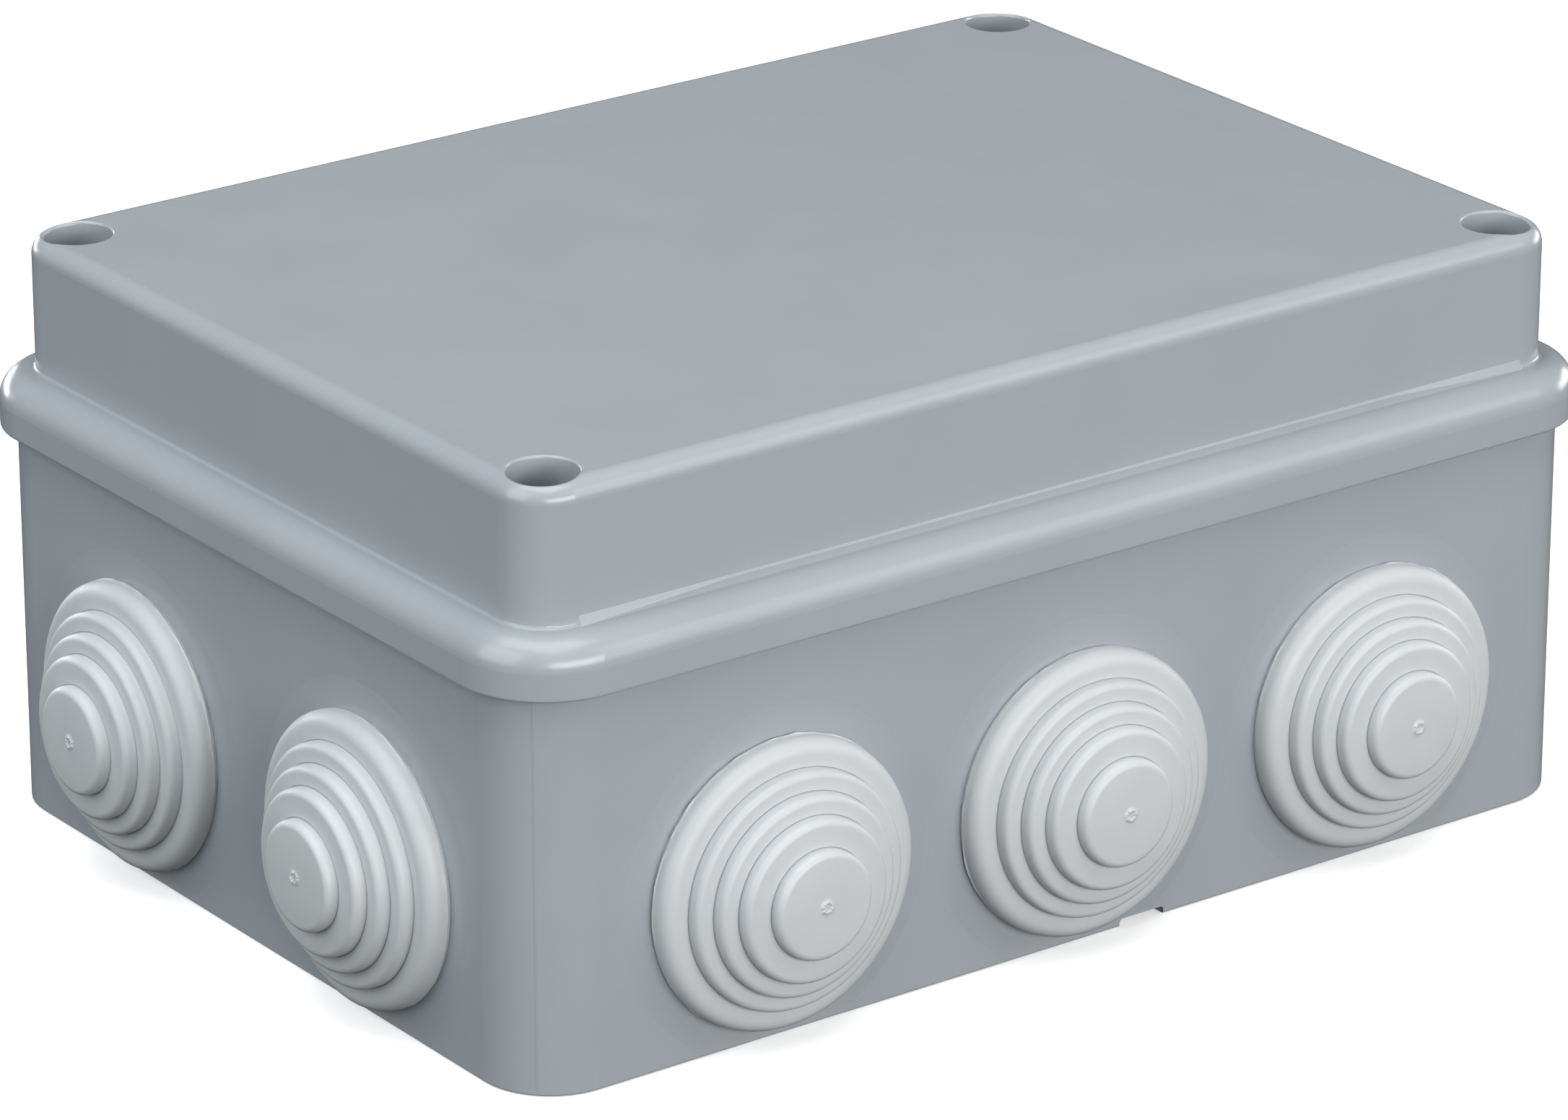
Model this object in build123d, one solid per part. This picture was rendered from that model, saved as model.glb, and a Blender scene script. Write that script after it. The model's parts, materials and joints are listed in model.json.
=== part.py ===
"""Surface-mounted electrical junction box, 150 x 110 x 70 mm, with ten stepped cable grommets.

A deep base box carries a lift-off lid on a foam gasket. Four captive screws stand in wells in the
lid's corners and drive into pillars in the base. Ten soft grommets close the cable holes in the four
walls, and a five-pole terminal strip stands on the floor of the base.

Frame: millimetres, +Z up, origin at the centre of the base's underside. X runs along the long side,
-Y is the front wall and -X the left wall.
"""

from build123d import *
import os

# --- driving sizes ---------------------------------------------------------------------------
BASE_LENGTH = 150.0
BASE_DEPTH = 110.0
TOTAL_HEIGHT = 70.0
BASE_CORNER = 9.0
WALL = 2.0
FLOOR = 2.2
BOTTOM_EDGE = 0.3
FLOOR_FILLET = 1.0

RIM_Z = 50.4                      # top of the base's wall, where the gasket sits
TONGUE_WIDTH = 0.8
TONGUE_HEIGHT = 0.5
GASKET_PLAY = 0.2

LID_INSET = 2.5                   # lid's raised part, in from the base's wall on each side
LID_WALL = 2.0
LID_TOP = 2.0
LID_TOP_FILLET = 2.2
LID_CORNER = 6.0
SHELF_Z = 53.8                    # top of the lid's flange
SHELF_THICKNESS = 2.0
SHELF_EDGE = 3.5                  # rounding of the flange's upper edge
SHELF_ROOT = 0.4                  # small fillet where the raised part meets the flange
SKIRT_Z = 47.0                    # lower edge of the flange's skirt
FLANGE_OVERHANG = 2.0
SKIRT_EDGE = 0.4
SKIRT_GAP = 0.3
LIP_Z = 48.7                      # lower edge of the lip inside the base's wall
LIP_CORNER = 7.2
FOOT_LINE_HEIGHT = 1.1            # fine ledge along the foot of the lid's long walls
FOOT_LINE_LEDGE = 0.85
FOOT_LINE_PROUD = 0.2
FOOT_LINE_END_PROUD = 0.5         # at its ends it slopes out this far
FOOT_LINE_LENGTH = 132.6
FOOT_LINE_TAPER = 20.0            # length over which the ledge turns into the slope
FOOT_LINE_END = 1.4

SCREW_INSET = 8.1                 # corner screw axes, in from the base's walls
SCREW_X = BASE_LENGTH / 2 - SCREW_INSET
SCREW_Y = BASE_DEPTH / 2 - SCREW_INSET
WELL_RADIUS = 4.0
WELL_TUBE_RADIUS = 5.1
WELL_MOUTH_FILLET = 0.3
WELL_FLOOR_TOP = 52.0
WELL_BOTTOM = 48.2
WELL_HOLE_RADIUS = 2.25
PILLAR_TOP = 48.0
PILLAR_RADIUS = 4.6
PILLAR_BORE = 2.05
PILLAR_BORE_BOTTOM = 30.0
PILLAR_TIE_WIDTH = 5.6
PILLAR_TIE_DROP = 1.0             # the ties stop short of the pillar's top

WASHER_THICKNESS = 1.0
WASHER_RADIUS = 3.8
SCREW_HEAD_RADIUS = 3.5
SCREW_HEAD_HEIGHT = 2.8
SCREW_HEAD_EDGE = 0.8
SCREW_RADIUS = 2.0
SCREW_TIP_Z = 35.4
SCREW_TIP_RADIUS = 0.7
SCREW_POINT = 2.2                 # length of the tapered end
RECESS_WIDTH = 1.1
RECESS_SPAN = 4.4
RECESS_DEPTH = 1.7

GROMMET_Z = 18.8
GROMMET_PITCH_X = 42.2            # on the long walls: -pitch, 0, +pitch
GROMMET_Y = 23.5                  # on the short walls: -Y and +Y
GROMMET_HOLE = 14.25
GROMMET_NECK = 14.2
# outer steps from the rim to the tip: radius of the step and height of its face above the pad
GROMMET_STEPS = [(17.1, 2.8), (14.0, 4.4), (11.8, 6.0), (9.6, 7.6), (6.4, 9.1)]
GROMMET_RIM_ROUND = 1.7
GROMMET_STEP_ROUND = 0.9
GROMMET_STEP_ROOT = 0.06
GROMMET_SKIN = 1.2
GROMMET_COLLAR = 15.6             # collar behind the wall
GROMMET_COLLAR_THICKNESS = 1.2
GROMMET_COLLAR_GAP = 0.05
GROMMET_TAIL = 5.4                # depth of the tail behind the wall's outer face
GROMMET_TAIL_RADIUS = 14.5
NUB_RADIUS = 0.65                 # trace of the moulding gate on the tip
NUB_HEIGHT = 0.3
PAD_RADIUS = 20.6                 # shallow cone on the wall round each hole
PAD_TOP_RADIUS = 17.0
PAD_HEIGHT = 0.35
PAD_LOWEST = 1.2

FIXING_SPACING_X = 120.0          # wall-fixing holes in the floor
FIXING_SPACING_Y = 80.0
FIXING_RADIUS = 2.6
FIXING_PAD_RADIUS = 5.6
FIXING_PAD_TOP = 4.2
FIXING_SINK_RADIUS = 4.4

MOULD_LINE_WIDTH = 0.15           # trace of the mould's split at each corner
MOULD_LINE_PROUD = 0.03

NOTCH_X = 9.5                     # shallow drain notch under the front wall
NOTCH_WIDTH = 6.4
NOTCH_HEIGHT = 0.95
NOTCH_DEPTH = 9.0
NOTCH_CORNER = 0.5

POLES = 5
POLE_PITCH = 11.0
POLE_WIDTH = 9.0
STRIP_DEPTH = 20.0
STRIP_BOTTOM = 6.0
BARREL_HEIGHT = 8.0
BARREL_CORNER = 1.2
BARREL_EDGE = 0.8
TURRET_RADIUS = 3.4
TURRET_TOP = 19.0
TURRET_BORE = 2.15
CLAMP_Y = 4.6                     # clamp screws sit at -Y and +Y of each pole
WEB_HEIGHT = 5.0
WEB_DEPTH = 11.0
INSERT_AXIS_Z = STRIP_BOTTOM + 4.2
INSERT_RADIUS = 2.9
INSERT_BORE = 2.0
INSERT_LENGTH = 16.0
INSERT_PLAY = 0.05
CLAMP_RADIUS = 1.5
CLAMP_PLAY = 0.05
CLAMP_HEAD_RADIUS = 2.0
CLAMP_HEAD_HEIGHT = 1.8
CLAMP_HEAD_LIFT = 0.6             # head's underside above the insert
CLAMP_SLOT_WIDTH = 0.6
CLAMP_SLOT_DEPTH = 0.8
STRIP_BOSS_RADIUS = 3.2
RAIL_WIDTH = 1.6
STRIP_HOLE_RADIUS = 1.6
STRIP_PILOT_RADIUS = 1.3
STRIP_SCREW_RADIUS = 1.25
STRIP_SCREW_HEAD_RADIUS = 2.5
STRIP_HEAD_ROOM = 2.8
STRIP_SCREW_HEAD_HEIGHT = 1.6
STRIP_SCREW_TIP_Z = 2.8

# --- sizes worked out from those above ---------------------------------------------------------
LID_LENGTH = BASE_LENGTH - 2 * LID_INSET
LID_DEPTH = BASE_DEPTH - 2 * LID_INSET
FLANGE_LENGTH = BASE_LENGTH + 2 * FLANGE_OVERHANG
FLANGE_DEPTH = BASE_DEPTH + 2 * FLANGE_OVERHANG
FLANGE_CORNER = BASE_CORNER + FLANGE_OVERHANG
SHELF_UNDERSIDE = SHELF_Z - SHELF_THICKNESS
SCREW_SEAT_Z = WELL_FLOOR_TOP + WASHER_THICKNESS
CUT = 1.0                         # how far cutting tools run past a face
FRONT, REAR, LEFT, RIGHT = "front", "rear", "left", "right"


def block(length, depth, corner, z_low, z_high, x=0.0, y=0.0):
    """Upright prism with rounded vertical corners, between two heights."""
    return Pos(x, y, z_low) * extrude(RectangleRounded(length, depth, corner), z_high - z_low)


def rod(radius, z_low, z_high, x=0.0, y=0.0):
    """Upright round bar between two heights."""
    height = z_high - z_low
    return Pos(x, y, z_low + height / 2) * Cylinder(radius, height)


def edges_at(solid, z):
    """Edges that lie in the horizontal plane at height z."""
    return solid.edges().filter_by(lambda e: abs(e.bounding_box().min.Z - z) < 1e-6
                                   and abs(e.bounding_box().max.Z - z) < 1e-6)


def corner_points():
    """Name and axis of each corner screw."""
    return {
        "front_left": (-SCREW_X, -SCREW_Y),
        "front_right": (SCREW_X, -SCREW_Y),
        "rear_left": (-SCREW_X, SCREW_Y),
        "rear_right": (SCREW_X, SCREW_Y),
    }


def wall_frame(wall, along):
    """Location on a wall's outer face whose +Z points out of the box."""
    half_x, half_y = BASE_LENGTH / 2, BASE_DEPTH / 2
    places = {
        FRONT: Pos(along, -half_y, GROMMET_Z) * Rot(90, 0, 0),
        REAR: Pos(along, half_y, GROMMET_Z) * Rot(-90, 0, 0),
        LEFT: Pos(-half_x, along, GROMMET_Z) * Rot(0, -90, 0),
        RIGHT: Pos(half_x, along, GROMMET_Z) * Rot(0, 90, 0),
    }
    return places[wall]


def grommet_places():
    """Name and wall frame of each cable entry."""
    places = {}
    for wall in (FRONT, REAR):
        for label, x in (("left", -GROMMET_PITCH_X), ("middle", 0.0), ("right", GROMMET_PITCH_X)):
            places[f"grommet_{wall}_{label}"] = wall_frame(wall, x)
    for wall in (LEFT, RIGHT):
        for label, y in (("front", -GROMMET_Y), ("rear", GROMMET_Y)):
            places[f"grommet_{wall}_{label}"] = wall_frame(wall, y)
    return places


# --- base box ----------------------------------------------------------------------------------
def base_shell():
    """Open-topped box with rounded corners and a tongue along its rim."""
    outer = block(BASE_LENGTH, BASE_DEPTH, BASE_CORNER, 0, RIM_Z)
    outer = fillet(edges_at(outer, 0), BOTTOM_EDGE)
    inner = block(BASE_LENGTH - 2 * WALL, BASE_DEPTH - 2 * WALL, BASE_CORNER - WALL, FLOOR, RIM_Z + CUT)
    inner = fillet(edges_at(inner, FLOOR), FLOOR_FILLET)
    side = (WALL - TONGUE_WIDTH) / 2
    tongue_outer = block(BASE_LENGTH - 2 * side, BASE_DEPTH - 2 * side, BASE_CORNER - side,
                         RIM_Z - CUT, RIM_Z + TONGUE_HEIGHT)
    far = side + TONGUE_WIDTH
    tongue_inner = block(BASE_LENGTH - 2 * far, BASE_DEPTH - 2 * far, BASE_CORNER - far,
                         RIM_Z - 2 * CUT, RIM_Z + 2 * CUT)
    return outer - inner + (tongue_outer - tongue_inner)


def base_pillars():
    """Corner pillars, each tied to both walls by a rib."""
    pillars = []
    reach = SCREW_INSET - WALL / 2
    low, high = FLOOR - CUT, PILLAR_TOP - PILLAR_TIE_DROP
    tie_along_x = Box(reach, PILLAR_TIE_WIDTH, high - low)
    tie_along_y = Box(PILLAR_TIE_WIDTH, reach, high - low)
    for x, y in corner_points().values():
        side_x, side_y = (1 if x > 0 else -1), (1 if y > 0 else -1)
        middle = (low + high) / 2
        pillars += [
            rod(PILLAR_RADIUS, FLOOR - CUT, PILLAR_TOP, x, y),
            Pos(x + side_x * reach / 2, y, middle) * tie_along_x,
            Pos(x, y + side_y * reach / 2, middle) * tie_along_y,
        ]
    return pillars


def wall_pads():
    """Shallow cones round the cable holes, cut off level above the underside."""
    cone = Pos(0, 0, PAD_HEIGHT / 2) * Cone(PAD_RADIUS, PAD_TOP_RADIUS, PAD_HEIGHT)
    band = Pos(0, 0, PAD_LOWEST) * extrude(Rectangle(2 * BASE_LENGTH, 2 * BASE_LENGTH), SKIRT_Z)
    return [(place * cone) & band for place in grommet_places().values()]


def mould_lines():
    """Fine raised line up each rounded corner."""
    reach = (BASE_CORNER + MOULD_LINE_PROUD) / 2
    height = SKIRT_Z - 2 * BOTTOM_EDGE
    lines = []
    for number, (side_x, side_y) in enumerate([(1, 1), (-1, 1), (-1, -1), (1, -1)]):
        centre = Pos(side_x * (BASE_LENGTH / 2 - BASE_CORNER), side_y * (BASE_DEPTH / 2 - BASE_CORNER),
                     2 * BOTTOM_EDGE + height / 2)
        wall_only = Pos(2 * reach - WALL / 2, 0, 0)
        lines.append(centre * Rot(0, 0, 45 + 90 * number) * wall_only
                     * Box(WALL, MOULD_LINE_WIDTH, height))
    return lines


def fixing_points():
    return [(sx * FIXING_SPACING_X / 2, sy * FIXING_SPACING_Y / 2) for sx in (-1, 1) for sy in (-1, 1)]


def strip_boss_points():
    return [(-1.5 * POLE_PITCH, 0.0), (1.5 * POLE_PITCH, 0.0)]


def make_base():
    base = base_shell()
    base += base_pillars()
    base += wall_pads()
    base += mould_lines()
    base += [rod(FIXING_PAD_RADIUS, FLOOR - CUT, FIXING_PAD_TOP, x, y) for x, y in fixing_points()]
    base += [rod(STRIP_BOSS_RADIUS, FLOOR - CUT, STRIP_BOTTOM, x, y) for x, y in strip_boss_points()]
    # two low rails carry the ends of the terminal strip
    rail_x = (POLES - 1) / 2 * POLE_PITCH
    rail_height = STRIP_BOTTOM - FLOOR + CUT
    base += [Pos(s * rail_x, 0, FLOOR - CUT + rail_height / 2) * Box(RAIL_WIDTH, STRIP_DEPTH, rail_height)
             for s in (-1, 1)]
    for x, y in corner_points().values():
        base -= rod(PILLAR_BORE, PILLAR_BORE_BOTTOM, PILLAR_TOP + CUT, x, y)
    for place in grommet_places().values():
        base -= place * Cylinder(GROMMET_HOLE, 4 * WALL)
    for x, y in fixing_points():
        base -= rod(FIXING_RADIUS, -CUT, FIXING_PAD_TOP + CUT, x, y)
        sink = FIXING_SINK_RADIUS - FIXING_RADIUS
        base -= Pos(x, y, FIXING_PAD_TOP - sink / 2) * Cone(FIXING_RADIUS, FIXING_SINK_RADIUS, sink)
    for x, y in strip_boss_points():
        base -= rod(STRIP_PILOT_RADIUS, FLOOR, STRIP_BOTTOM + CUT, x, y)
    notch = extrude(RectangleRounded(NOTCH_WIDTH, 2 * NOTCH_HEIGHT, NOTCH_CORNER), NOTCH_DEPTH + CUT)
    base -= Pos(NOTCH_X, -BASE_DEPTH / 2 + NOTCH_DEPTH, 0) * Rot(90, 0, 0) * notch
    return base


# --- lid and gasket ------------------------------------------------------------------------------
def make_lid():
    flange = block(FLANGE_LENGTH, FLANGE_DEPTH, FLANGE_CORNER, SKIRT_Z, SHELF_Z)
    flange = fillet(edges_at(flange, SHELF_Z), SHELF_EDGE)
    flange = fillet(edges_at(flange, SKIRT_Z), SKIRT_EDGE)
    raised = block(LID_LENGTH, LID_DEPTH, LID_CORNER, SHELF_UNDERSIDE, TOTAL_HEIGHT)
    raised = fillet(edges_at(raised, TOTAL_HEIGHT), LID_TOP_FILLET)
    lid = flange + raised
    root = [e for e in edges_at(lid, SHELF_Z)
            if abs(e.center().X) < LID_LENGTH / 2 + 0.1 and abs(e.center().Y) < LID_DEPTH / 2 + 0.1]
    lid = fillet(root, SHELF_ROOT)
    lid += foot_strips()
    # room for the base's wall and the gasket, leaving the lip that hangs inside the wall
    pocket = block(BASE_LENGTH + 2 * SKIRT_GAP, BASE_DEPTH + 2 * SKIRT_GAP, BASE_CORNER + SKIRT_GAP,
                   SKIRT_Z - CUT, SHELF_UNDERSIDE)
    lip = block(LID_LENGTH, LID_DEPTH, LIP_CORNER, LIP_Z, SHELF_UNDERSIDE)
    inside = block(LID_LENGTH - 2 * LID_WALL, LID_DEPTH - 2 * LID_WALL, LID_CORNER - LID_WALL,
                   LIP_Z - CUT, TOTAL_HEIGHT - LID_TOP)
    for x, y in corner_points().values():
        inside -= rod(WELL_TUBE_RADIUS, WELL_BOTTOM, TOTAL_HEIGHT, x, y)
    lid = lid - pocket + lip - inside
    for x, y in corner_points().values():
        lid += rod(WELL_TUBE_RADIUS, WELL_BOTTOM, SHELF_UNDERSIDE, x, y) & block(
            LID_LENGTH, LID_DEPTH, LIP_CORNER, WELL_BOTTOM, SHELF_UNDERSIDE)
        lid -= rod(WELL_RADIUS, WELL_FLOOR_TOP, TOTAL_HEIGHT + CUT, x, y)
        lid -= rod(WELL_HOLE_RADIUS, WELL_BOTTOM - CUT, WELL_FLOOR_TOP + CUT, x, y)
    return soften_well_mouths(lid)


def foot_section(x, proud, ledge):
    """Section of the foot strip at x: how far it stands proud, up to the height of its ledge."""
    wall_y, low, top = LID_DEPTH / 2, SHELF_Z - SHELF_ROOT, SHELF_Z + FOOT_LINE_HEIGHT
    return make_face(Polyline(
        (x, wall_y - CUT, low), (x, wall_y + proud, low), (x, wall_y + proud, SHELF_Z + ledge),
        (x, wall_y, top), (x, wall_y - CUT, top), close=True))


def foot_strips():
    """Fine ledge at the foot of each long wall of the raised part, sloping out towards its ends."""
    half = FOOT_LINE_LENGTH / 2
    ledge = foot_section(half - FOOT_LINE_TAPER, FOOT_LINE_PROUD, FOOT_LINE_LEDGE)
    slope = foot_section(half, FOOT_LINE_END_PROUD, 0)
    point = Vertex(half + FOOT_LINE_END, LID_DEPTH / 2 - CUT / 2, SHELF_Z - SHELF_ROOT)
    middle = extrude(ledge, 2 * (half - FOOT_LINE_TAPER), dir=(-1, 0, 0))
    taper = loft([ledge, slope], ruled=True)
    end = loft([slope, point])
    pieces = [middle, taper, end, mirror(taper, Plane.YZ), mirror(end, Plane.YZ)]
    return pieces + [Rot(0, 0, 180) * piece for piece in pieces]


def soften_well_mouths(lid):
    """Round the edge where each well breaks out through the lid's top and its rounding."""
    mouths = []
    for edge in lid.edges():
        box = edge.bounding_box()
        for x, y in corner_points().values():
            near = max(abs(box.min.X - x), abs(box.max.X - x), abs(box.min.Y - y), abs(box.max.Y - y))
            if near < WELL_RADIUS + 0.01 and box.min.Z > TOTAL_HEIGHT - LID_TOP_FILLET:
                mouths.append(edge)
    return fillet(mouths, WELL_MOUTH_FILLET)


def make_gasket():
    """Foam ring in the lid's groove, with a channel for the base's tongue."""
    outer = SKIRT_GAP - GASKET_PLAY
    ring = block(BASE_LENGTH + 2 * outer, BASE_DEPTH + 2 * outer, BASE_CORNER + outer,
                 RIM_Z, SHELF_UNDERSIDE)
    inner = LID_INSET - GASKET_PLAY
    ring -= block(BASE_LENGTH - 2 * inner, BASE_DEPTH - 2 * inner, BASE_CORNER - inner,
                  RIM_Z - CUT, SHELF_UNDERSIDE + CUT)
    near = (WALL - TONGUE_WIDTH) / 2 - GASKET_PLAY / 2
    channel = block(BASE_LENGTH - 2 * near, BASE_DEPTH - 2 * near, BASE_CORNER - near,
                    RIM_Z - CUT, RIM_Z + TONGUE_HEIGHT + GASKET_PLAY / 2)
    far = near + TONGUE_WIDTH + GASKET_PLAY
    channel -= block(BASE_LENGTH - 2 * far, BASE_DEPTH - 2 * far, BASE_CORNER - far,
                     RIM_Z - 2 * CUT, RIM_Z + 2 * CUT)
    return ring - channel


# --- lid screws ----------------------------------------------------------------------------------
def make_washer():
    ring = rod(WASHER_RADIUS, WELL_FLOOR_TOP, SCREW_SEAT_Z)
    return ring - rod(PILLAR_BORE, WELL_FLOOR_TOP - CUT, SCREW_SEAT_Z + CUT)


def make_lid_screw():
    head_top = SCREW_SEAT_Z + SCREW_HEAD_HEIGHT
    head = rod(SCREW_HEAD_RADIUS, SCREW_SEAT_Z, head_top)
    head = fillet(edges_at(head, head_top), SCREW_HEAD_EDGE)
    shank = rod(SCREW_RADIUS, SCREW_TIP_Z + SCREW_POINT, SCREW_SEAT_Z)
    tip = Pos(0, 0, SCREW_TIP_Z + SCREW_POINT / 2) * Cone(SCREW_TIP_RADIUS, SCREW_RADIUS, SCREW_POINT)
    screw = head + shank + tip
    recess_z = head_top - RECESS_DEPTH / 2
    for turn in (0, 90):
        screw -= Pos(0, 0, recess_z + CUT / 2) * Rot(0, 0, turn) * Box(
            RECESS_SPAN, RECESS_WIDTH, RECESS_DEPTH + CUT)
    return screw


# --- grommets ------------------------------------------------------------------------------------
def grommet_outline():
    """Half section of a grommet in the XZ plane: a stepped cap, a neck for the wall and a collar."""
    tip_radius, tip_face = GROMMET_STEPS[-1]
    corners = [(GROMMET_NECK, 0, 0)]          # radius, height above the pad, rounding
    below = 0
    for radius, face in GROMMET_STEPS:
        first = below == 0
        corners.append((radius, below, 0 if first else GROMMET_STEP_ROOT))
        corners.append((radius, face, GROMMET_RIM_ROUND if first else GROMMET_STEP_ROUND))
        below = face
    corners += [(NUB_RADIUS, tip_face, 0), (NUB_RADIUS, tip_face + NUB_HEIGHT, NUB_HEIGHT / 2)]
    corners += [(0, tip_face + NUB_HEIGHT, 0), (0, tip_face - GROMMET_SKIN, 0)]
    # hollow side, stepping back down from the tip to the open tail
    for (radius, face), (_, face_below) in zip(GROMMET_STEPS[:0:-1], GROMMET_STEPS[-2::-1]):
        corners += [(radius - GROMMET_SKIN, face - GROMMET_SKIN, 0),
                    (radius - GROMMET_SKIN, face_below - GROMMET_SKIN, 0)]
    corners.pop()
    collar_front = -WALL - PAD_HEIGHT - GROMMET_COLLAR_GAP
    tail = -GROMMET_TAIL - PAD_HEIGHT
    corners += [
        (GROMMET_STEPS[1][0] - GROMMET_SKIN, tail, 0),
        (GROMMET_TAIL_RADIUS, tail, 0),
        (GROMMET_COLLAR, collar_front - GROMMET_COLLAR_THICKNESS, 0),
        (GROMMET_COLLAR, collar_front, 0),
        (GROMMET_NECK, collar_front, 0),
    ]
    points = [(radius, 0, height + PAD_HEIGHT) for radius, height, _ in corners]
    return make_face(FilletPolyline(*points, radius=[rounding for *_, rounding in corners], close=True))


def make_grommet():
    """Grommet whose axis is +Z, with the wall's outer face at z = 0."""
    return revolve(grommet_outline(), Axis.Z)


# --- terminal strip --------------------------------------------------------------------------------
def pole_positions():
    return [(i - (POLES - 1) / 2) * POLE_PITCH for i in range(POLES)]


def make_strip():
    barrel_top = STRIP_BOTTOM + BARREL_HEIGHT
    span = POLES * POLE_PITCH - (POLE_PITCH - POLE_WIDTH)
    web_z = STRIP_BOTTOM + WEB_HEIGHT / 2
    strip = Pos(0, 0, web_z) * Box(span, WEB_DEPTH, WEB_HEIGHT)
    for x in pole_positions():
        barrel = block(POLE_WIDTH, STRIP_DEPTH, BARREL_CORNER, STRIP_BOTTOM, barrel_top, x)
        strip += fillet(edges_at(barrel, barrel_top), BARREL_EDGE)
        strip += [rod(TURRET_RADIUS, barrel_top - CUT, TURRET_TOP, x, s * CLAMP_Y) for s in (-1, 1)]
    for x in pole_positions():
        strip -= Pos(x, 0, INSERT_AXIS_Z) * Rot(90, 0, 0) * Cylinder(
            INSERT_RADIUS + INSERT_PLAY, STRIP_DEPTH + 2 * CUT)
        strip -= [rod(TURRET_BORE, INSERT_AXIS_Z, TURRET_TOP + CUT, x, s * CLAMP_Y) for s in (-1, 1)]
    strip -= [rod(STRIP_HOLE_RADIUS, STRIP_BOTTOM - CUT, STRIP_BOTTOM + WEB_HEIGHT + CUT, x, y)
              for x, y in strip_boss_points()]
    # the fixing screws' heads drop between two poles
    strip -= [rod(STRIP_HEAD_ROOM, STRIP_BOTTOM + WEB_HEIGHT, TURRET_TOP + CUT, x, y)
              for x, y in strip_boss_points()]
    return strip


def make_insert(x):
    """Brass tube of one pole, with a tapped hole for each clamp screw."""
    tube = Pos(x, 0, INSERT_AXIS_Z) * Rot(90, 0, 0) * Cylinder(INSERT_RADIUS, INSERT_LENGTH)
    tube -= Pos(x, 0, INSERT_AXIS_Z) * Rot(90, 0, 0) * Cylinder(INSERT_BORE, INSERT_LENGTH + 2 * CUT)
    tube -= [rod(CLAMP_RADIUS + CLAMP_PLAY, INSERT_AXIS_Z, INSERT_AXIS_Z + 2 * INSERT_RADIUS, x, s * CLAMP_Y)
             for s in (-1, 1)]
    return tube


def make_clamp_screw(x, y):
    """Slotted screw in a turret of the strip."""
    head_low = INSERT_AXIS_Z + INSERT_RADIUS + CLAMP_HEAD_LIFT
    head_top = head_low + CLAMP_HEAD_HEIGHT
    screw = rod(CLAMP_RADIUS, INSERT_AXIS_Z, head_low, x, y) + rod(CLAMP_HEAD_RADIUS, head_low, head_top, x, y)
    return screw - Pos(x, y, head_top - CLAMP_SLOT_DEPTH / 2 + CUT / 2) * Box(
        2 * CLAMP_HEAD_RADIUS + CUT, CLAMP_SLOT_WIDTH, CLAMP_SLOT_DEPTH + CUT)


def make_strip_screws():
    """Two pan-head screws that hold the strip to its bosses."""
    seat = STRIP_BOTTOM + WEB_HEIGHT
    screws = []
    for x, y in strip_boss_points():
        screw = rod(STRIP_SCREW_RADIUS, STRIP_SCREW_TIP_Z, seat, x, y)
        screw += rod(STRIP_SCREW_HEAD_RADIUS, seat, seat + STRIP_SCREW_HEAD_HEIGHT, x, y)
        screw -= Pos(x, y, seat + STRIP_SCREW_HEAD_HEIGHT) * Box(
            2 * STRIP_SCREW_HEAD_RADIUS + CUT, CLAMP_SLOT_WIDTH, 2 * CLAMP_SLOT_DEPTH)
        screws.append(screw)
    return Compound(screws)


# --- all sub-parts ---------------------------------------------------------------------------------
def make_parts():
    parts = {"base_box": make_base(), "lid": make_lid(), "lid_gasket": make_gasket()}
    grommet = make_grommet()
    for name, place in grommet_places().items():
        parts[name] = place * grommet
    washer, screw = make_washer(), make_lid_screw()
    for corner, (x, y) in corner_points().items():
        parts[f"screw_washer_{corner}"] = Pos(x, y, 0) * washer
        parts[f"lid_screw_{corner}"] = Pos(x, y, 0) * screw
    parts["terminal_strip"] = make_strip()
    for number, x in enumerate(pole_positions(), start=1):
        parts[f"terminal_insert_{number}"] = make_insert(x)
        for side, y in (("front", -CLAMP_Y), ("rear", CLAMP_Y)):
            parts[f"clamp_screw_{number}_{side}"] = make_clamp_screw(x, y)
    parts["strip_fixing_screws"] = make_strip_screws()
    return parts


os.makedirs("parts", exist_ok=True)
for node, shape in make_parts().items():
    export_step(shape, f"parts/{node}.step")
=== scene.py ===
"""Looks of a grey surface junction box: moulded shell, soft stepped grommets, screws and terminals.

The CAD meshes of the shell, lid, gasket, washers and terminal strip get new finishes. The grommets
and the lid screws are new meshes. Lengths in those shapes are millimetres; each shape's place
matrix turns them into metres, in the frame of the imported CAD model.
"""

import json
import math

import bmesh
import bpy
from mathutils import Matrix, Vector, noise


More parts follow.
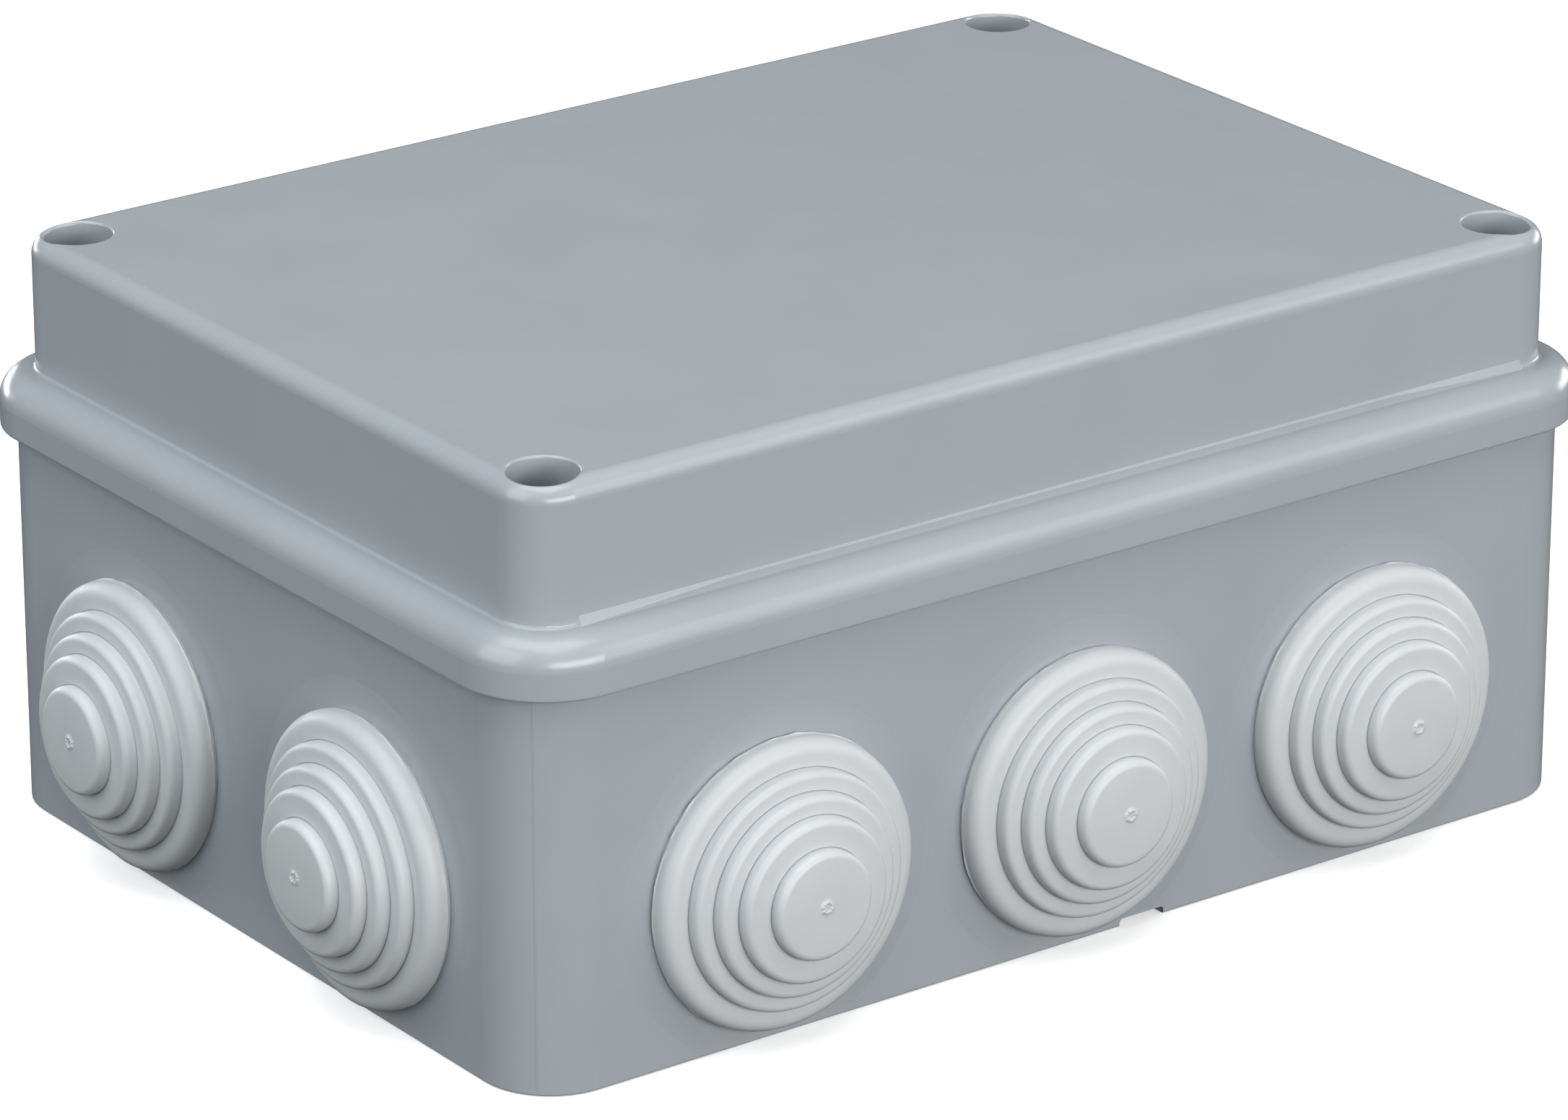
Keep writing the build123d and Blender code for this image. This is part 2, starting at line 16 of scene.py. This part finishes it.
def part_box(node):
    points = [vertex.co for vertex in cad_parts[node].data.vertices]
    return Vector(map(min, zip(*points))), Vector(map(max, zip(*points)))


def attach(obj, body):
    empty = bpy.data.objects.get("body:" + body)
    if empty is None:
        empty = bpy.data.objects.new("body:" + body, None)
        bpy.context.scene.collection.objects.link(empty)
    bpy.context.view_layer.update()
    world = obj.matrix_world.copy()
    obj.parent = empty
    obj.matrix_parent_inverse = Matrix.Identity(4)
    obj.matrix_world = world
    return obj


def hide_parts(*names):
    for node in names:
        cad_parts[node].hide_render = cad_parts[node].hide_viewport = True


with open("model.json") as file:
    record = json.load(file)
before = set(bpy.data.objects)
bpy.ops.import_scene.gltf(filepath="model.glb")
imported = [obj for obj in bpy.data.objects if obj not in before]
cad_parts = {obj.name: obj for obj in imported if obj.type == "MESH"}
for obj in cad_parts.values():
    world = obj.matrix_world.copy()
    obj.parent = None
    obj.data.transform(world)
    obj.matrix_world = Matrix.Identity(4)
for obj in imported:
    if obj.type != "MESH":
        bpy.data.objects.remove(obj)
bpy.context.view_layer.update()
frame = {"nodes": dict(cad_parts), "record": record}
nodes = frame["nodes"]

MM = 0.001
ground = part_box("base_box")[0].z
middle_height = (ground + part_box("lid")[1].z) / 2

# --- camera --------------------------------------------------------------------------------------
CAMERA_AZIMUTH = -36.35
CAMERA_ELEVATION = 21.73
CAMERA_DISTANCE = 0.932
CAMERA_LENS = 180.4
CAMERA_TARGET = Vector((0.0058, 0.0087, middle_height - 0.0104))
SENSOR_WIDTH = 36.0
CLIP_START = 0.01

# --- studio: place, width and height in metres, watts and colour ---------------------------------
WHITE = (1.0, 1.0, 1.0)
WARM = (1.0, 0.99, 0.98)
COOL = (0.93, 0.98, 1.0)
LIGHTS = {
    "overhead": ((-0.12, -0.05, 1.05), (1.1, 0.9), 10.0, WHITE),
    "front": ((-0.06, -1.17, 0.30), (1.3, 0.38), 13.1, WARM),
    "front_right": ((0.62, -0.80, 0.62), (0.5, 0.5), 1.6, WARM),
    "left": ((-0.95, 0.05, 0.55), (0.9, 0.9), 7.0, COOL),
    "rear": ((-0.08, 1.20, 0.13), (0.8, 0.25), 5.0, WHITE),
    "right": ((1.20, 0.00, 0.20), (0.7, 0.3), 4.5, WHITE),
}
LIGHT_TARGET = (0, 0, 0.03)
WORLD_STRENGTH = 0.05             # as light on the object
HORIZON_STRENGTH = 1.0            # as the background behind it
FLOOR_HALF_WIDTH = 4.0
FLOOR_DROP = 0.1                  # floor below the box, mm
FLOOR_COLOUR = (0.9, 0.9, 0.9, 1)
FLOOR_ROUGHNESS = 0.9
FLOOR_GLOW = 0.45                 # keeps the floor pale far from the lights; lights nothing else

# --- grommet, in its own frame: +Z out of the wall, zero where its rim lies on the wall's pad ------
GROMMET_STEPS = [(17.1, 2.8), (14.0, 4.4), (11.8, 6.0), (9.6, 7.6), (6.4, 9.1)]   # radius, face
GROMMET_TOP = 9.4                 # height of the gate's trace on the tip
GROMMET_RIM_ROUND = 1.7
GROMMET_RIM_UNDERCUT = 0.12
GROMMET_STEP_ROUND = 0.8
GROMMET_GROOVE = 0.14             # fine groove at the root of each step
GROMMET_EDGE = 0.3                # rounding of the edges behind the wall
GROMMET_SKIN = 1.2
GROMMET_NECK = 14.2
GROMMET_COLLAR = 15.6
GROMMET_COLLAR_ROUND = 0.2
GROMMET_COLLAR_FRONT = -2.4
GROMMET_COLLAR_BACK = -3.6
GROMMET_TAIL = -5.75
GROMMET_TAIL_RADIUS = 14.5
GROMMET_SEGMENTS = 144
GROMMET_TURN = 2.4                # from one grommet to the next, radians, so no two look alike
GROMMET_SEED = 3.7                # step of the noise seed from one grommet to the next
OUTWARD = {"front": (0, -1, 0), "rear": (0, 1, 0), "left": (-1, 0, 0), "right": (1, 0, 0)}

# a grommet's moulding faults
WAVE_HEIGHT = 0.10
WAVE_RADIUS = 0.05
FLASH_HEIGHT = 0.45               # parting line round the rim
FLASH_HALF = 0.12                 # half its thickness
FLASH_REACH = 0.16
GATE_RADII = (0.15, 0.3, 0.45, 0.6, 0.75, 0.9, 1.05, 1.25)
GATE_RING_RADIUS = 0.62
GATE_RING_WIDTH = 0.2
GATE_RING_HEIGHT = 0.20
GATE_CORE_WIDTH = 0.25
GATE_CORE_HEIGHT = 0.16

# --- lid screw -------------------------------------------------------------------------------------
HEAD_EDGE = 0.8
HEAD_FLAT = 0.75                  # radius of the head's flat top, as a share of the head's
HEAD_GAP = 0.02                   # so the head turns on its washer without touching it
SEAT_ROUND = 0.15
NECK_RADIUS = 1.75
THREAD_CREST = 1.98
THREAD_ROOT = 1.5
THREAD_PITCH = 1.4
THREAD_TOP = 50.6                 # its height in the model
THREAD_ROWS = 9                   # rows of points in one turn
RIDGE_HEIGHT = 1.25               # of the ridge before its crest is cut flat, 1 being the crest
RIDGE_SLOPE = 3.4
RIDGE_START = 0.2
NECK_STEP = 0.4                   # from the thread's top to the neck
POINT_LENGTH = 2.2
POINT_RADIUS = 0.7
POINT_ROUND = 0.2
RECESS_TURN = 0.4                 # of the cross recess, radians
RECESS_DEPTH = 1.7
RECESS_CLEAR = 0.6                # how far the cutting blade stands above the head
BLADE_FOOT = (2.728, 0.88)        # length and width of one arm of the recess, at its bottom
BLADE_TOP = (5.06, 1.21)          # and where the blade ends above the head
SCREW_SEGMENTS = 40


def make_camera():
    """Long lens that looks down on the corner between the left and the front walls."""
    azimuth, elevation = math.radians(CAMERA_AZIMUTH), math.radians(CAMERA_ELEVATION)
    back = Vector((math.sin(azimuth) * math.cos(elevation), -math.cos(azimuth) * math.cos(elevation),
                   math.sin(elevation)))
    data = bpy.data.cameras.new("camera")
    data.lens = CAMERA_LENS
    data.sensor_width = SENSOR_WIDTH
    data.clip_start = CLIP_START
    camera = bpy.data.objects.new("camera", data)
    camera.location = CAMERA_TARGET + back * CAMERA_DISTANCE
    camera.rotation_euler = back.to_track_quat("Z", "Y").to_euler()
    bpy.context.scene.collection.objects.link(camera)
    bpy.context.scene.camera = camera


# --- light and floor -----------------------------------------------------------------------------
def make_studio():
    """Soft boxes above and on all four sides, in a white surround that gives them little help."""
    for name, (location, (width, height), watts, colour) in LIGHTS.items():
        data = bpy.data.lights.new(name, "AREA")
        data.shape = "RECTANGLE"
        data.size, data.size_y = width, height
        data.energy = watts
        data.color = colour
        light = bpy.data.objects.new(name, data)
        light.location = location
        light.visible_camera = False
        towards = Vector(location) - Vector(LIGHT_TARGET)
        light.rotation_euler = towards.to_track_quat("Z", "Y").to_euler()
        bpy.context.scene.collection.objects.link(light)
    world = bpy.data.worlds.new("studio")
    world.use_nodes = True
    tree = world.node_tree
    surround = tree.nodes["Background"]
    horizon = tree.nodes.new("ShaderNodeBackground")
    for shader, strength in ((surround, WORLD_STRENGTH), (horizon, HORIZON_STRENGTH)):
        shader.inputs["Color"].default_value = (1.0, 1.0, 1.0, 1.0)
        shader.inputs["Strength"].default_value = strength
    mix = tree.nodes.new("ShaderNodeMixShader")
    seen = tree.nodes.new("ShaderNodeLightPath").outputs["Is Camera Ray"]
    tree.links.new(seen, mix.inputs[0])
    tree.links.new(surround.outputs["Background"], mix.inputs[1])
    tree.links.new(horizon.outputs["Background"], mix.inputs[2])
    tree.links.new(mix.outputs["Shader"], tree.nodes["World Output"].inputs["Surface"])
    bpy.context.scene.world = world
    bpy.context.scene.view_settings.view_transform = "Standard"


def make_floor():
    """White floor that casts no light back on the object."""
    mesh = bpy.data.meshes.new("floor")
    shape = bmesh.new()
    bmesh.ops.create_grid(shape, x_segments=2, y_segments=2, size=FLOOR_HALF_WIDTH)
    shape.to_mesh(mesh)
    shape.free()
    floor = bpy.data.objects.new("floor", mesh)
    bpy.context.scene.collection.objects.link(floor)
    floor.location.z = ground - FLOOR_DROP * MM
    finish = Graph("floor_white")
    finish.set(Base_Color=FLOOR_COLOUR, Roughness=FLOOR_ROUGHNESS, Emission_Color=(1, 1, 1, 1),
               Emission_Strength=FLOOR_GLOW)
    mesh.materials.append(finish.material)
    floor.visible_diffuse = False
    floor.visible_glossy = False


# --- materials -----------------------------------------------------------------------------------
NOISE_ROUGHNESS = 0.55
MIX_COLOUR_A, MIX_COLOUR_B, MIX_COLOUR_RESULT = 6, 7, 2     # colour sockets of the Mix node


class Graph:
    """A new material, with short calls that add and link its shader nodes."""

    def __init__(self, name):
        self.material = bpy.data.materials.new(name)
        self.material.use_nodes = True
        self.tree = self.material.node_tree
        self.shader = self.tree.nodes["Principled BSDF"]
        self.place = self.tree.nodes.new("ShaderNodeTexCoord").outputs["Object"]

    def node(self, kind, inputs=None, **settings):
        """Add a node; each input is a number, a colour or another node's socket."""
        node = self.tree.nodes.new(kind)
        for key, value in settings.items():
            setattr(node, key, value)
        for key, value in (inputs or {}).items():
            socket = node.inputs[key]
            if isinstance(value, bpy.types.NodeSocket):
                self.tree.links.new(value, socket)
            else:
                socket.default_value = value
        return node

    def noise(self, per_metre, detail=3.0):
        """Cloudy noise of 0 to 1 with this many waves in a metre."""
        return self.node("ShaderNodeTexNoise", {
            "Vector": self.place, "Scale": per_metre, "Detail": detail,
            "Roughness": NOISE_ROUGHNESS}).outputs["Fac"]

    def ramp(self, value, low, high, to_low, to_high):
        """Map low to high onto to_low to to_high, and hold the ends."""
        return self.node("ShaderNodeMapRange", {
            "Value": value, "From Min": low, "From Max": high, "To Min": to_low,
            "To Max": to_high}).outputs["Result"]

    def spread(self, noise, low=0.0, high=1.0):
        """Stretch the middle range of a noise, where nearly all of it lies, over low to high."""
        return self.ramp(noise, 0.3, 0.7, low, high)

    def blend(self, factor, first, second):
        """Mix two colours, or the outputs of other nodes."""
        mix = self.node("ShaderNodeMix", data_type="RGBA")
        self.tree.links.new(factor, mix.inputs["Factor"])
        for place, colour in ((MIX_COLOUR_A, first), (MIX_COLOUR_B, second)):
            if isinstance(colour, bpy.types.NodeSocket):
                self.tree.links.new(colour, mix.inputs[place])
            else:
                mix.inputs[place].default_value = (*colour, 1)
        return mix.outputs[MIX_COLOUR_RESULT]

    def add(self, first, second):
        return self.node("ShaderNodeMath", {0: first, 1: second}, operation="ADD").outputs["Value"]

    def bump(self, height, distance, strength=1.0, below=None):
        """Relief of this depth in metres, on top of another bump where one is given."""
        inputs = {"Height": height, "Distance": distance, "Strength": strength}
        if below is not None:
            inputs["Normal"] = below
        return self.node("ShaderNodeBump", inputs).outputs["Normal"]

    def set(self, **sockets):
        """Set or link the shader's own sockets, with _ for a space in their names."""
        for name, value in sockets.items():
            socket = self.shader.inputs[name.replace("_", " ")]
            if isinstance(value, bpy.types.NodeSocket):
                self.tree.links.new(value, socket)
            else:
                socket.default_value = value


def box_plastic():
    """Satin blue-grey moulding with a faint mottle, flow waves and a fine grain.

    A roughness of 0.22 to 0.28 gives flake-like patches, and 0.21 to 0.26 none.
    """
    g = Graph("box_plastic")
    colour = g.blend(g.spread(g.noise(60.0, 4.0)), (0.330, 0.361, 0.390), (0.345, 0.376, 0.404))
    waves = g.bump(g.noise(22.0, 2.0), 0.0012, 0.12)
    grain = g.bump(g.noise(1500.0, 1.0), 0.00002, 0.10, waves)
    g.set(Base_Color=colour, Roughness=g.spread(g.noise(140.0), 0.21, 0.26), Normal=grain, IOR=1.5)
    return g.material


def grommet_rubber():
    """Soft pale grey elastomer, matt, with specks of dust and slight shading in the mix."""
    g = Graph("grommet_rubber")
    colour = g.blend(g.spread(g.noise(120.0, 4.0)), (0.520, 0.542, 0.560), (0.545, 0.566, 0.582))
    specks = g.ramp(g.noise(1300.0, 2.0), 0.66, 0.80, 0.0, 0.15)
    colour = g.blend(specks, colour, (0.44, 0.46, 0.48))
    dents = g.bump(g.noise(260.0, 2.0), 0.0003, 0.12)
    grain = g.bump(g.noise(1400.0, 1.0), 0.00004, 0.15, dents)
    g.set(Base_Color=colour, Roughness=g.spread(g.noise(300.0, 2.0), 0.42, 0.52), Normal=grain)
    return g.material


def gasket_foam():
    """Closed-cell sealing foam."""
    g = Graph("gasket_foam")
    cells = g.node("ShaderNodeTexVoronoi", {"Vector": g.place, "Scale": 2600.0}).outputs["Distance"]
    # the pits of the cells, low in the bump below, are painted darker: painted shade in the pits
    colour = g.blend(g.ramp(cells, 0.0, 0.7, 0.0, 1.0), (0.020, 0.020, 0.022), (0.050, 0.050, 0.053))
    g.set(Base_Color=colour, Roughness=0.9, Normal=g.bump(cells, 0.00015, 0.8))
    return g.material


def washer_rubber():
    """Black sealing rubber with a fine dull grain."""
    g = Graph("washer_rubber")
    fine = g.noise(3500.0)
    colour = g.blend(fine, (0.012, 0.012, 0.013), (0.030, 0.030, 0.032))
    g.set(Base_Color=colour, Roughness=g.spread(fine, 0.55, 0.75), Normal=g.bump(fine, 0.00006, 0.5))
    return g.material


def plated_metal(name, low, high, roughness):
    """Plated fastener steel: cloudy passivation and fine marks."""
    g = Graph(name)
    cloud = g.noise(900.0, 4.0)
    marks = g.noise(9000.0, 2.0)
    rough = g.ramp(g.add(cloud, marks), 0.6, 1.4, roughness - 0.06, roughness + 0.10)
    g.set(Base_Color=g.blend(g.spread(cloud), low, high), Metallic=1.0, Roughness=rough,
          Normal=g.bump(marks, 0.00003, 0.5))
    return g.material


def terminal_brass():
    """Bright brass with fine tool lines across the insert."""
    g = Graph("terminal_brass")
    lines = g.node("ShaderNodeTexWave", {"Vector": g.place, "Scale": 900.0, "Distortion": 0.6,
                                         "Detail": 1.0}, bands_direction="Y").outputs["Fac"]
    colour = g.blend(g.noise(700.0), (0.55, 0.38, 0.13), (0.72, 0.52, 0.22))
    g.set(Base_Color=colour, Metallic=1.0, Roughness=g.ramp(lines, 0.0, 1.0, 0.24, 0.36),
          Normal=g.bump(lines, 0.00003, 0.4))
    return g.material


def terminal_plastic():
    """Milky terminal moulding that lets a little light in."""
    g = Graph("terminal_plastic")
    colour = g.blend(g.spread(g.noise(180.0)), (0.70, 0.68, 0.60), (0.76, 0.745, 0.67))
    g.set(Base_Color=colour, Roughness=g.spread(g.noise(350.0), 0.36, 0.46),
          Normal=g.bump(g.noise(4200.0, 2.0), 0.00004, 0.4), Subsurface_Weight=0.15,
          Subsurface_Radius=(0.002, 0.0018, 0.0015), Subsurface_Scale=1.0)
    return g.material


def dress_cad_nodes():
    """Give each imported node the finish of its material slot, and return the finishes."""
    finishes = {
        "box_plastic": box_plastic(),
        "grommet_rubber": grommet_rubber(),
        "gasket_foam": gasket_foam(),
        "washer_rubber": washer_rubber(),
        "plated_steel": plated_metal("plated_steel", (0.50, 0.51, 0.53), (0.66, 0.67, 0.68), 0.30),
        "terminal_plastic": terminal_plastic(),
        "terminal_brass": terminal_brass(),
        "clamp_steel": plated_metal("clamp_steel", (0.56, 0.53, 0.42), (0.70, 0.66, 0.52), 0.32),
    }
    slot_of = {part["node"]: part["material_slot"] for part in frame["record"]["subparts"]}
    for name, obj in nodes.items():
        obj.data.materials.clear()
        obj.data.materials.append(finishes[slot_of[name]])
    return finishes


# --- meshes --------------------------------------------------------------------------------------
def round_corners(corners, arc_steps=5):
    """Outline through (radius, height, rounding) corners, each rounding drawn as an arc."""
    points = []
    for index, (radius, height, rounding) in enumerate(corners):
        here = Vector((radius, height))
        if rounding == 0:
            points.append(here)
            continue
        before = (Vector(corners[index - 1][:2]) - here).normalized()
        after = (Vector(corners[index + 1][:2]) - here).normalized()
        half = before.angle(after) / 2
        centre = here + (before + after).normalized() * rounding / math.sin(half)
        start = here + before * rounding / math.tan(half) - centre
        end = here + after * rounding / math.tan(half) - centre
        turn = start.angle_signed(end)
        for step in range(arc_steps + 1):
            angle = -turn * step / arc_steps
            points.append(centre + Matrix.Rotation(angle, 2) @ start)
    return points


def lathe(name, profile, segments, place, shape=None, crease=40):
    """Turn a profile of (radius, height) points, both ends on the axis, round +Z of a frame.

    shape, when given, moves each point: it takes the angle, radius and height.
    """
    mesh = bpy.data.meshes.new(name)
    build = bmesh.new()
    rows = []
    for radius, height in profile:
        stations = 1 if radius == 0 else segments
        row = []
        for station in range(stations):
            angle = 2 * math.pi * station / segments
            r, h = shape(angle, radius, height) if shape else (radius, height)
            row.append(build.verts.new(place @ Vector((r * math.cos(angle), r * math.sin(angle), h))))
        rows.append(row)
    for upper, lower in zip(rows, rows[1:]):
        for station in range(segments):
            following = (station + 1) % segments
            ring = [upper[station % len(upper)], lower[station % len(lower)],
                    lower[following % len(lower)], upper[following % len(upper)]]
            build.faces.new(dict.fromkeys(ring))
    bmesh.ops.recalc_face_normals(build, faces=build.faces)
    build.to_mesh(mesh)
    build.free()
    mesh.shade_smooth()
    mesh.set_sharp_from_angle(angle=math.radians(crease))
    obj = bpy.data.objects.new(name, mesh)
    bpy.context.scene.collection.objects.link(obj)
    return obj


def piece(obj, finish, slot, body, *stands_for):
    """Give a new mesh its finish, hang it on the body it rides on and hide the CAD nodes it stands for."""
    obj.data.materials.append(finish)
    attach(obj, body)
    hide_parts(*stands_for)


# --- grommets ------------------------------------------------------------------------------------
def grommet_profile():
    """Half section from the tip's centre, over the steps and the rim, through the wall and back inside."""
    tip_face = GROMMET_STEPS[-1][1]
    corners = [(0, tip_face, 0)] + [(radius, tip_face, 0) for radius in GATE_RADII]
    for (radius, face), (_, below) in zip(GROMMET_STEPS[:0:-1], GROMMET_STEPS[-2::-1]):
        corners += [(radius, face, GROMMET_STEP_ROUND), (radius, below + GROMMET_GROOVE, 0),
                    (radius, below - GROMMET_GROOVE, 0), (radius + GROMMET_GROOVE, below, 0)]
    rim, rim_face = GROMMET_STEPS[0]
    corners += [(rim, rim_face, GROMMET_RIM_ROUND), (rim, FLASH_HEIGHT + FLASH_HALF, 0),
                (rim, FLASH_HEIGHT, 0), (rim, FLASH_HEIGHT - FLASH_HALF, 0),
                (rim - GROMMET_RIM_UNDERCUT, 0, 0)]
    corners += [(GROMMET_NECK, 0, 0), (GROMMET_NECK, GROMMET_COLLAR_FRONT, 0),
                (GROMMET_COLLAR, GROMMET_COLLAR_FRONT, GROMMET_COLLAR_ROUND),
                (GROMMET_COLLAR, GROMMET_COLLAR_BACK, GROMMET_EDGE),
                (GROMMET_TAIL_RADIUS, GROMMET_TAIL, GROMMET_EDGE)]
    inner = [(radius - GROMMET_SKIN, face - GROMMET_SKIN) for radius, face in GROMMET_STEPS[1:]]
    corners.append((inner[0][0], GROMMET_TAIL, GROMMET_EDGE))
    for (radius, face), (narrower, _) in zip(inner, inner[1:]):
        corners += [(radius, face, GROMMET_EDGE), (narrower, face, GROMMET_EDGE)]
    corners += [(*inner[-1], GROMMET_EDGE), (0, inner[-1][1], 0)]
    return round_corners(corners)


def ripple(angle, waves, seed):
    """Noise that closes on itself round the axis: more waves make it finer."""
    return noise.noise(Vector((waves * math.cos(angle), waves * math.sin(angle), seed)))


def moulding_faults(seed):
    """Small irregularities of one grommet: ragged flash, a wavy rim and the gate's torn trace."""
    rim = GROMMET_STEPS[0][0]
    tip_face = GROMMET_STEPS[-1][1]

    def move(angle, radius, height):
        slow = ripple(angle, 1.1, seed)
        if height > 0:
            share = radius / rim
            height += WAVE_HEIGHT * slow * share ** 3 * min(1.0, height)
            radius += WAVE_RADIUS * ripple(angle, 1.7, seed + height) * share
        if radius > rim - 0.3 and abs(height - FLASH_HEIGHT) < 0.1:
            radius += FLASH_REACH * max(0.0, 0.35 + 0.9 * slow + ripple(angle, 11, seed + 5.3))
        if 0 < radius < GATE_RADII[-1] and height > tip_face - 0.2:
            torn = 1 + 0.9 * ripple(angle, 2.5, seed + 2 * radius)
            ring = math.exp(-((radius - GATE_RING_RADIUS) / GATE_RING_WIDTH) ** 2)
            core = math.exp(-(radius / GATE_CORE_WIDTH) ** 2)
            height += GATE_RING_HEIGHT * torn * ring
            height += GATE_CORE_HEIGHT * max(0.0, torn - 0.9) * core
        return radius, height

    return move


def make_grommets(finish):
    """Ten soft grommets, each where its CAD node is, facing out of its wall."""
    profile = grommet_profile()
    names = sorted(name for name in nodes if name.startswith("grommet_"))
    for number, name in enumerate(names):
        outward = Vector(OUTWARD[name.split("_")[1]])
        low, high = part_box(name)
        middle = (low + high) / 2
        reach = (high - low).dot(Vector(map(abs, outward))) / 2
        rim_plane = middle + outward * (reach - GROMMET_TOP * MM)
        facing = outward.to_track_quat("Z", "Y").to_matrix().to_4x4()
        turned = Matrix.Rotation(GROMMET_TURN * number, 4, "Z")
        place = Matrix.Translation(rim_plane) @ facing @ turned @ Matrix.Scale(MM, 4)
        faults = moulding_faults(GROMMET_SEED * number)
        obj = lathe(f"soft_{name}", profile, GROMMET_SEGMENTS, place, faults)
        piece(obj, finish, "grommet_rubber", "base", name)


# --- lid screws ----------------------------------------------------------------------------------
def screw_profile(tip, seat, top, head_radius):
    """Half section of a pan-head screw from the top of its head to its point."""
    thread_end = tip + POINT_LENGTH
    length = THREAD_TOP - thread_end
    rows = int(length / THREAD_PITCH * THREAD_ROWS)
    corners = [(0, top, 0), (HEAD_FLAT * head_radius, top, 0), (head_radius, top, HEAD_EDGE),
               (head_radius, seat, SEAT_ROUND), (NECK_RADIUS, seat, SEAT_ROUND),
               (NECK_RADIUS, THREAD_TOP + NECK_STEP, 0)]
    corners += [(THREAD_ROOT, THREAD_TOP - length * row / rows, 0) for row in range(rows + 1)]
    corners += [(POINT_RADIUS, tip, POINT_ROUND), (0, tip, 0)]
    return round_corners(corners)


def thread(tip):
    """Helical ridge on the screw's core, fading out at both ends of the thread."""
    low = tip + POINT_LENGTH

    def move(angle, radius, height):
        if radius == THREAD_ROOT and low <= height <= THREAD_TOP:
            phase = (height / THREAD_PITCH - angle / (2 * math.pi)) % 1.0
            ridge = max(0.0, RIDGE_HEIGHT - RIDGE_SLOPE * abs(phase - 0.5))
            fade = min(1.0, (height - low + RIDGE_START) / THREAD_PITCH,
                       (THREAD_TOP - height) / THREAD_PITCH)
            radius += (THREAD_CREST - THREAD_ROOT) * min(1.0, ridge) * fade
        return radius, height

    return move


def blade(place, turn, top):
    """Tapered bar that cuts one arm of a cross recess."""
    mesh = bpy.data.meshes.new("recess_blade")
    build = bmesh.new()
    bmesh.ops.create_cube(build, size=1.0)
    turned = place @ Matrix.Rotation(turn, 4, "Z")
    for vert in build.verts:
        at_foot = vert.co.z < 0
        length, width = BLADE_FOOT if at_foot else BLADE_TOP
        height = top - RECESS_DEPTH if at_foot else top + RECESS_CLEAR
        vert.co = turned @ Vector((vert.co.x * length, vert.co.y * width, height))
    build.to_mesh(mesh)
    build.free()
    obj = bpy.data.objects.new("recess_blade", mesh)
    bpy.context.scene.collection.objects.link(obj)
    return obj


def cut(obj, cutters):
    """Subtract each cutter from a mesh and delete the cutters."""
    for cutter in cutters:
        modifier = obj.modifiers.new("cut", "BOOLEAN")
        modifier.operation = "DIFFERENCE"
        modifier.solver = "EXACT"
        modifier.object = cutter
    bpy.context.view_layer.update()
    evaluated = obj.evaluated_get(bpy.context.evaluated_depsgraph_get())
    solid = bpy.data.meshes.new_from_object(evaluated)
    obj.modifiers.clear()
    obj.data = solid
    for cutter in cutters:
        bpy.data.objects.remove(cutter)


def make_lid_screws(finish):
    """Four threaded screws, each on its washer, in the place and with the head of its CAD node."""
    for name in sorted(node for node in nodes if node.startswith("lid_screw_")):
        corner = name.removeprefix("lid_screw_")
        low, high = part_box(name)
        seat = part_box(f"screw_washer_{corner}")[1].z / MM + HEAD_GAP
        axis = (low + high) / 2
        place = Matrix.Translation((axis.x, axis.y, 0)) @ Matrix.Scale(MM, 4)
        top, tip, head_radius = high.z / MM, low.z / MM, (high.x - low.x) / 2 / MM
        profile = screw_profile(tip, seat, top, head_radius)
        obj = lathe(f"threaded_{name}", profile, SCREW_SEGMENTS, place, thread(tip), crease=50)
        cut(obj, [blade(place, turn, top) for turn in (RECESS_TURN, RECESS_TURN + math.pi / 2)])
        obj.data.materials.clear()
        piece(obj, finish, "plated_steel", f"screw_{corner}", name)


make_camera()
make_studio()
make_floor()
finishes = dress_cad_nodes()
make_grommets(finishes["grommet_rubber"])
make_lid_screws(finishes["plated_steel"])
